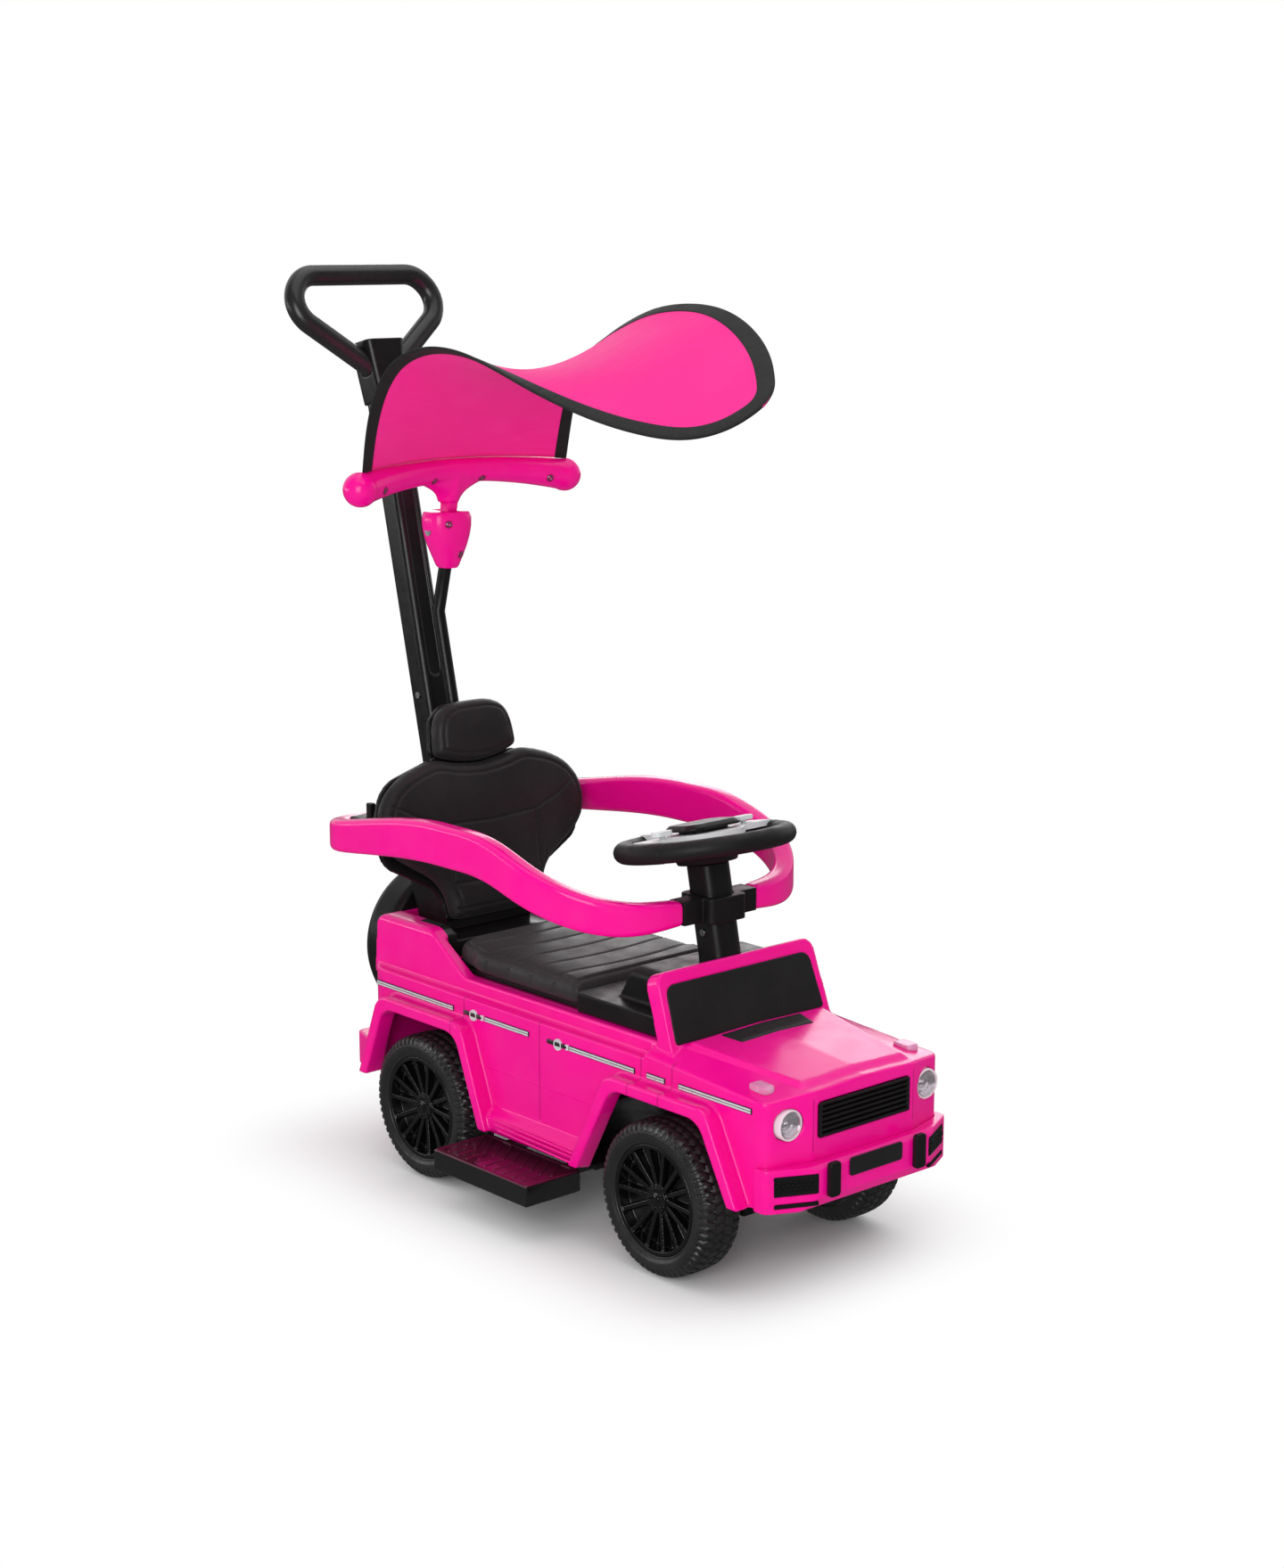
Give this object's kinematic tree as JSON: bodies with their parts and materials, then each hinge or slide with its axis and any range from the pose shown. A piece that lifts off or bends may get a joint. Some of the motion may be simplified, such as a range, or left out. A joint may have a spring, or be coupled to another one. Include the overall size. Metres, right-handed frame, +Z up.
{
  "type": "ride-on push car",
  "caption": "Toddler ride-on push car with steered front wheels, guard ring, padded seat and backrest, parent push handle and tilting fabric canopy.",
  "frame": {"origin": "on the floor under the middle of the whole car, in its plane of symmetry", "axes": "+X forward, +Y to the car's left, +Z up"},
  "size_m": [0.865, 0.384, 1.0105],
  "materials": {
    "pink_plastic": "glossy moulded",
    "black_plastic": "satin moulded",
    "tyre_plastic": "matt moulded with tread",
    "gloss_black_plastic": "glossy moulded",
    "silver_plastic": "silver paint",
    "clear_plastic": "clear and pale pink lenses",
    "steel": "zinc plated",
    "leatherette": "grained leatherette with stitched channels",
    "pink_fabric": "woven polyester with a black edge binding"
  },
  "bodies": {
    "car": {"body_shell": "pink_plastic", "front_bumper": "pink_plastic", "rear_bumper": "pink_plastic", "bumper_inserts": "black_plastic", "bumper_guards": "black_plastic", "number_plate": "black_plastic", "windscreen_panel": "gloss_black_plastic", "bonnet_vent": "black_plastic", "grille": "black_plastic", "headlight_bowls": "silver_plastic", "headlight_lenses": "clear_plastic", "turn_lamp_lenses": "clear_plastic", "side_trim": "silver_plastic", "chassis_base": "black_plastic", "rear_axle": "steel", "kingpins": "steel", "steering_column": "black_plastic", "dash_console": "black_plastic", "storage_box": "black_plastic", "backrest_shell": "black_plastic", "backrest_cushion": "leatherette", "headrest_cushion": "leatherette", "guard_arm_right": "pink_plastic", "guard_arm_left": "pink_plastic", "guard_collar": "black_plastic", "guard_bracket": "black_plastic", "push_pole": "black_plastic", "pole_socket": "black_plastic", "handle_block": "black_plastic", "handle_loop": "black_plastic", "canopy_post": "steel", "post_bracket": "black_plastic", "joint_housing": "pink_plastic", "pivot_bolt": "steel", "spare_wheel": "black_plastic", "screws": "steel"},
    "steering": {"steering_shaft": "steel", "steering_rim": "black_plastic", "steering_spokes": "silver_plastic", "steering_back_cover": "black_plastic"},
    "horn": {"horn_pad": "gloss_black_plastic"},
    "music_right": {"music_button_right": "gloss_black_plastic"},
    "music_left": {"music_button_left": "gloss_black_plastic"},
    "knuckle_right": {"knuckle_right": "steel"},
    "knuckle_left": {"knuckle_left": "steel"},
    "tie_rod": {"tie_rod": "steel"},
    "wheel_front_right": {"tyre_front_right": "tyre_plastic", "rim_front_right": "gloss_black_plastic"},
    "wheel_front_left": {"tyre_front_left": "tyre_plastic", "rim_front_left": "gloss_black_plastic"},
    "wheel_rear_right": {"tyre_rear_right": "tyre_plastic", "rim_rear_right": "gloss_black_plastic"},
    "wheel_rear_left": {"tyre_rear_left": "tyre_plastic", "rim_rear_left": "gloss_black_plastic"},
    "seat": {"seat_base": "black_plastic", "seat_cushion": "leatherette"},
    "canopy": {"canopy_bow": "pink_plastic", "canopy_cloth": "pink_fabric"},
    "footrest_right": {"footrest_right": "black_plastic"},
    "footrest_left": {"footrest_left": "black_plastic"}
  },
  "joints": [
    {"name": "steering_turn", "type": "hinge", "parent": "car", "child": "steering", "pos_m": [0.245, 0, 0.075], "axis": [-0.1994, 0, 0.9799], "range_deg": [-28, 28]},
    {"name": "horn_press", "type": "slide", "parent": "steering", "child": "horn", "axis": [0.1994, 0, -0.9799], "range_m": [0, 0.0028], "stiffness_N_per_m": 300},
    {"name": "music_press_right", "type": "slide", "parent": "steering", "child": "music_right", "axis": [0.1994, 0, -0.9799], "range_m": [0, 0.0028], "stiffness_N_per_m": 300},
    {"name": "music_press_left", "type": "slide", "parent": "steering", "child": "music_left", "axis": [0.1994, 0, -0.9799], "range_m": [0, 0.0028], "stiffness_N_per_m": 300},
    {"name": "kingpin_right", "type": "hinge", "parent": "car", "child": "knuckle_right", "pos_m": [0.253, -0.072, 0.0825], "axis": [0, 0, 1], "range_deg": [-21.5, 21.5]},
    {"name": "kingpin_left", "type": "hinge", "parent": "car", "child": "knuckle_left", "pos_m": [0.253, 0.072, 0.0825], "axis": [0, 0, 1], "range_deg": [-21.5, 21.5]},
    {"name": "tie_rod_pivot", "type": "hinge", "parent": "knuckle_right", "child": "tie_rod", "pos_m": [0.221, -0.072, 0.0725], "axis": [0, 0, 1], "range_deg": [-21.5, 21.5]},
    {"name": "spin_front_right", "type": "hinge", "parent": "knuckle_right", "child": "wheel_front_right", "pos_m": [0.253, -0.1195, 0.0825], "axis": [0, 1, 0], "continuous": true},
    {"name": "spin_front_left", "type": "hinge", "parent": "knuckle_left", "child": "wheel_front_left", "pos_m": [0.253, 0.1195, 0.0825], "axis": [0, 1, 0], "continuous": true},
    {"name": "spin_rear_right", "type": "hinge", "parent": "car", "child": "wheel_rear_right", "pos_m": [-0.139, -0.1195, 0.0825], "axis": [0, 1, 0], "continuous": true},
    {"name": "spin_rear_left", "type": "hinge", "parent": "car", "child": "wheel_rear_left", "pos_m": [-0.139, 0.1195, 0.0825], "axis": [0, 1, 0], "continuous": true},
    {"name": "seat_lift", "type": "slide", "parent": "car", "child": "seat", "axis": [0, 0, 1], "range_m": [0, 0.1]},
    {"name": "canopy_tilt", "type": "hinge", "parent": "car", "child": "canopy", "pos_m": [-0.26, 0, 0.714], "axis": [0, 1, 0], "range_deg": [-25, 15]},
    {"name": "footrest_slide_right", "type": "slide", "parent": "car", "child": "footrest_right", "axis": [0, 1, 0], "range_m": [0, 0.055]},
    {"name": "footrest_slide_left", "type": "slide", "parent": "car", "child": "footrest_left", "axis": [0, -1, 0], "range_m": [0, 0.055]}
  ],
  "couplings": [
    {"joint": "kingpin_right", "follows": "steering_turn", "ratio": 0.75},
    {"joint": "kingpin_left", "follows": "steering_turn", "ratio": 0.75},
    {"joint": "tie_rod_pivot", "follows": "steering_turn", "ratio": -0.75}
  ]
}
